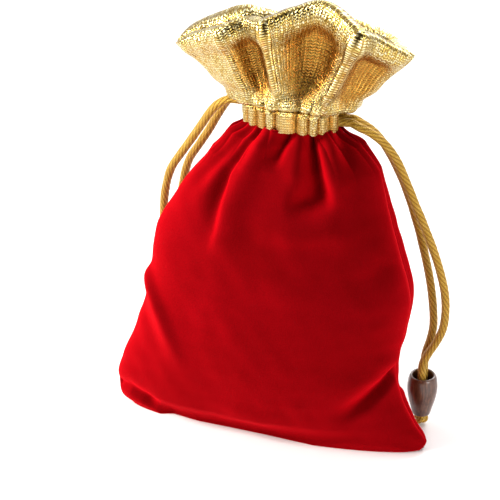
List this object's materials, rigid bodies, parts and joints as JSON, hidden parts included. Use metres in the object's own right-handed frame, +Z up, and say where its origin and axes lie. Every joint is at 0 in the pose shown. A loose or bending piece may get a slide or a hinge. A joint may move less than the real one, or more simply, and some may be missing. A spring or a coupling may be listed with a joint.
{
  "type": "drawstring gift pouch",
  "caption": "Soft velvet pouch with a gathered metallic ruffle collar, drawn shut by cords that leave at both sides and end in wooden beads.",
  "frame": {"origin": "middle of the base on the surface that the pouch stands on", "axes": "+Z up, +X to the right seen from the front, -Y is the front face of the bag"},
  "size_m": [0.1126, 0.0458, 0.1542],
  "materials": {
    "velvet": "short dense pile, soft sheen at grazing angles",
    "gold_lame": "knitted metallic fabric, glittering, strongly directional highlights",
    "gold_cord": "tubular knitted satin cord with fine ribs",
    "bead_wood": "dark red-brown stain under a semi-gloss varnish",
    "seam_thread": "turned-in velvet edges and their sewing thread, matt"
  },
  "bodies": {
    "bag": {"velvet_front_panel": "velvet", "velvet_back_panel": "velvet", "side_seam_left": "seam_thread", "side_seam_right": "seam_thread", "bottom_seam": "seam_thread"},
    "mouth_front": {"gold_collar_front": "gold_lame", "right_cord_front_run": "gold_cord", "left_cord_front_run": "gold_cord", "channel_lining_front": "gold_lame"},
    "mouth_back": {"gold_collar_back": "gold_lame", "right_cord_back_run": "gold_cord", "left_cord_back_run": "gold_cord", "channel_lining_back": "gold_lame"},
    "right_cord": {"right_cord_front_strand": "gold_cord", "right_cord_back_strand": "gold_cord", "right_knot": "gold_cord"},
    "right_bead": {"right_bead": "bead_wood"},
    "left_cord": {"left_cord_front_strand": "gold_cord", "left_cord_back_strand": "gold_cord", "left_knot": "gold_cord"},
    "left_bead": {"left_bead": "bead_wood"}
  },
  "joints": [
    {"name": "mouth_front_open", "type": "slide", "parent": "bag", "child": "mouth_front", "axis": [0, -1, 0], "range_m": [0, 0.008]},
    {"name": "mouth_back_open", "type": "slide", "parent": "bag", "child": "mouth_back", "axis": [0, 1, 0], "range_m": [0, 0.008]},
    {"name": "right_cord_draw", "type": "slide", "parent": "bag", "child": "right_cord", "axis": [0, 0, 1], "range_m": [0, 0.01], "deforming": ["right_cord_front_strand", "right_cord_back_strand"]},
    {"name": "left_cord_draw", "type": "slide", "parent": "bag", "child": "left_cord", "axis": [0, 0, 1], "range_m": [0, 0.01], "deforming": ["left_cord_front_strand", "left_cord_back_strand"]},
    {"name": "right_bead_slide", "type": "slide", "parent": "right_cord", "child": "right_bead", "axis": [0, 0, 1], "range_m": [0, 0.006]},
    {"name": "left_bead_slide", "type": "slide", "parent": "left_cord", "child": "left_bead", "axis": [0, 0, 1], "range_m": [0, 0.006]}
  ],
  "couplings": [
    {"joint": "mouth_back_open", "follows": "mouth_front_open", "ratio": 1},
    {"joint": "right_cord_draw", "follows": "mouth_front_open", "ratio": 1.25},
    {"joint": "left_cord_draw", "follows": "mouth_front_open", "ratio": 1.25}
  ]
}
